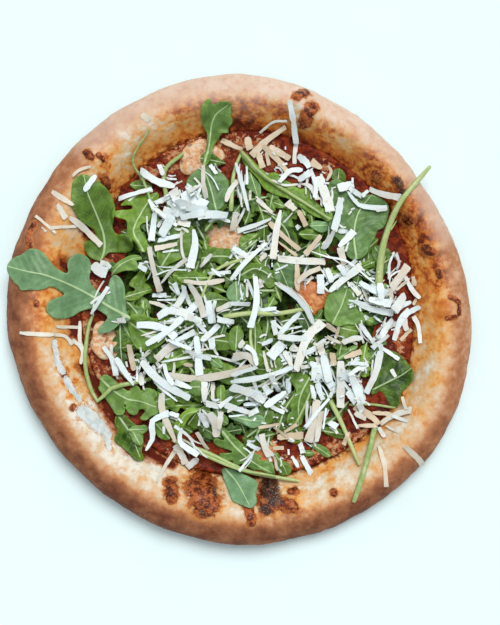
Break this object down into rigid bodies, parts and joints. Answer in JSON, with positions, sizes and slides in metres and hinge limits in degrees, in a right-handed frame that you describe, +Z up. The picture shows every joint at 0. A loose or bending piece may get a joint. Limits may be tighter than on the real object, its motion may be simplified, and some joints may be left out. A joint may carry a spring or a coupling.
{
  "type": "rocket and shaved cheese pizza",
  "caption": "Whole round pizza with a puffed, blistered rim, tomato sauce and melted cheese, topped with a loose heap of rocket leaves and shaved hard cheese.",
  "frame": {"origin": "middle of the crust's outline, on the flat underside that it rests on", "axes": "+Z up through the toppings, +X to the right and +Y away from a person who looks down on it with the charred blister nearest them"},
  "size_m": [0.2896, 0.2938, 0.0302],
  "materials": {
    "baked_dough": "floury baked dough with brown blisters",
    "tomato_sauce": "thick baked tomato sauce with a wet shine",
    "melted_cheese": "melted cheese stained with sauce",
    "rocket_and_shavings": "fresh green leaves with cool white shavings of hard cheese"
  },
  "bodies": {
    "root": {"crust": "baked_dough", "tomato_sauce": "tomato_sauce", "melted_cheese_1": "melted_cheese", "melted_cheese_2": "melted_cheese", "melted_cheese_3": "melted_cheese", "melted_cheese_4": "melted_cheese", "melted_cheese_5": "melted_cheese", "rocket_and_shavings": "rocket_and_shavings"}
  },
  "joints": []
}
